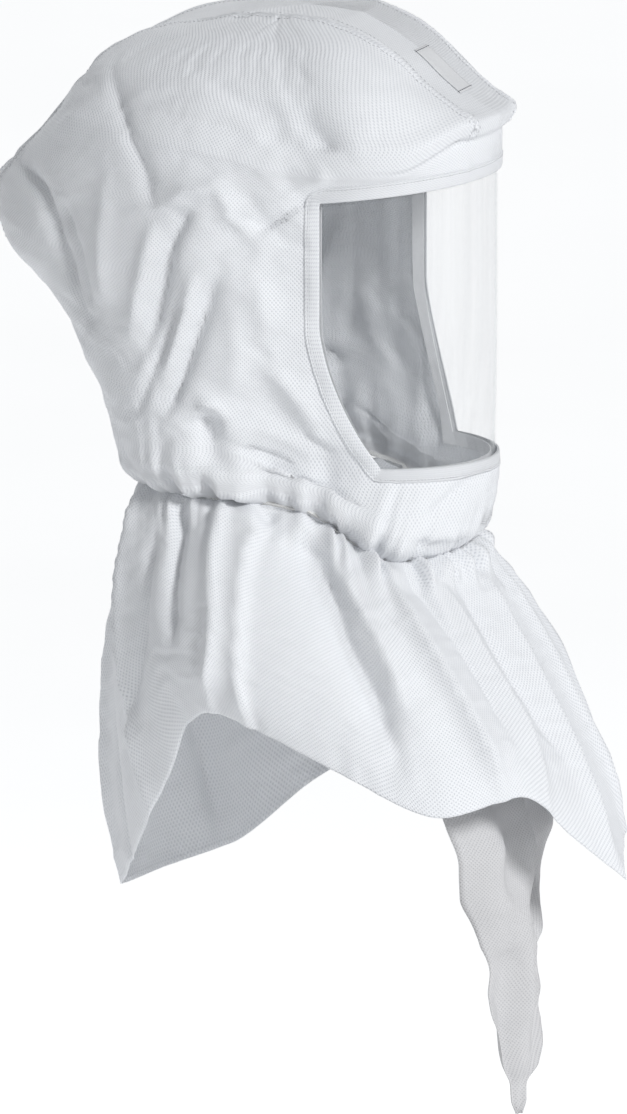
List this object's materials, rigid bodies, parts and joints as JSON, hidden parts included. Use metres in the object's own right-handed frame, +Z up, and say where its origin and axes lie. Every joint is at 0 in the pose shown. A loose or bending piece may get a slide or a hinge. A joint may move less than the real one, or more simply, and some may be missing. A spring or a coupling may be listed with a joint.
{
  "type": "powered air respirator hood",
  "caption": "Loose-fitting white fabric respirator hood with a wraparound clear visor, shoulder shroud, head harness and rear hose inlet.",
  "frame": {"origin": "middle of the wearer's head at brow height, 5 mm below the headband's lower edge in front", "axes": "+Z up, -Y the way the wearer faces, -X the wearer's right"},
  "size_m": [0.275, 0.41, 0.6995],
  "materials": {
    "fabric": "embossed nonwoven, matt",
    "fabric_inner": "nonwoven, matt",
    "clear": "clear film",
    "tape": "woven binding",
    "label": "smooth printed-type patch, blank",
    "elastic": "woven elastic",
    "duct": "matt moulded",
    "harness": "satin moulded",
    "accent": "satin moulded",
    "foam": "fabric-faced foam",
    "rubber": "matt",
    "steel": "plated"
  },
  "bodies": {
    "root": {"hood_top_panel": "fabric", "hood_side_right": "fabric", "hood_side_left": "fabric", "outer_shroud_front": "fabric", "outer_shroud_back": "fabric", "inner_shroud": "fabric_inner", "visor_lens": "clear", "window_binding": "tape", "label_patch": "label", "neck_elastic": "elastic", "air_duct_cover": "duct", "air_duct_base": "duct", "duct_outlet_grille": "duct", "inlet_socket": "duct", "inlet_clamp_ring": "duct", "headband": "harness", "crown_strap_front": "harness", "crown_strap_rear": "harness", "duct_saddle": "harness", "rear_strap_right": "harness", "rear_strap_left": "harness", "brow_frame": "harness", "temple_bracket_right": "harness", "temple_bracket_left": "harness", "brow_bracket": "harness", "brow_pad": "foam", "crown_pad": "foam", "inlet_gasket": "rubber", "inlet_o_ring": "rubber", "brow_screw_duct": "steel", "brow_screw_frame": "steel", "saddle_screw_1": "steel", "saddle_screw_2": "steel", "strap_rivet_right": "steel", "strap_rivet_left": "steel", "temple_rivet_right": "steel", "temple_rivet_left": "steel", "temple_screw_right": "steel", "temple_screw_left": "steel", "crown_rivet_front_right": "steel", "crown_rivet_front_left": "steel", "crown_rivet_rear_right": "steel", "crown_rivet_rear_left": "steel"},
    "ratchet_carriage": {"ratchet_housing": "harness", "ratchet_cover": "harness", "click_spring": "steel", "nape_pad": "foam"},
    "ratchet_knob_unit": {"ratchet_knob": "accent", "ratchet_pinion": "accent", "knob_screw": "steel"},
    "right_airflow_slide": {"airflow_slide_right": "accent"},
    "left_airflow_slide": {"airflow_slide_left": "accent"}
  },
  "joints": [
    {"name": "carriage_slide", "type": "slide", "parent": "root", "child": "ratchet_carriage", "axis": [0, 1, 0], "range_m": [-0.018, 0.007], "deforming": ["rear_strap_right", "rear_strap_left"]},
    {"name": "knob_turn", "type": "hinge", "parent": "ratchet_carriage", "child": "ratchet_knob_unit", "pos_m": [0, 0.098, -0.028], "axis": [0, 1, 0], "range_deg": [-206.3, 80.3]},
    {"name": "airflow_slide_right_move", "type": "slide", "parent": "root", "child": "right_airflow_slide", "axis": [0, 1, 0], "range_m": [0, 0.012]},
    {"name": "airflow_slide_left_move", "type": "slide", "parent": "root", "child": "left_airflow_slide", "axis": [0, 1, 0], "range_m": [0, 0.012]}
  ],
  "couplings": [
    {"joint": "knob_turn", "follows": "carriage_slide", "rad_per_m": 200}
  ]
}
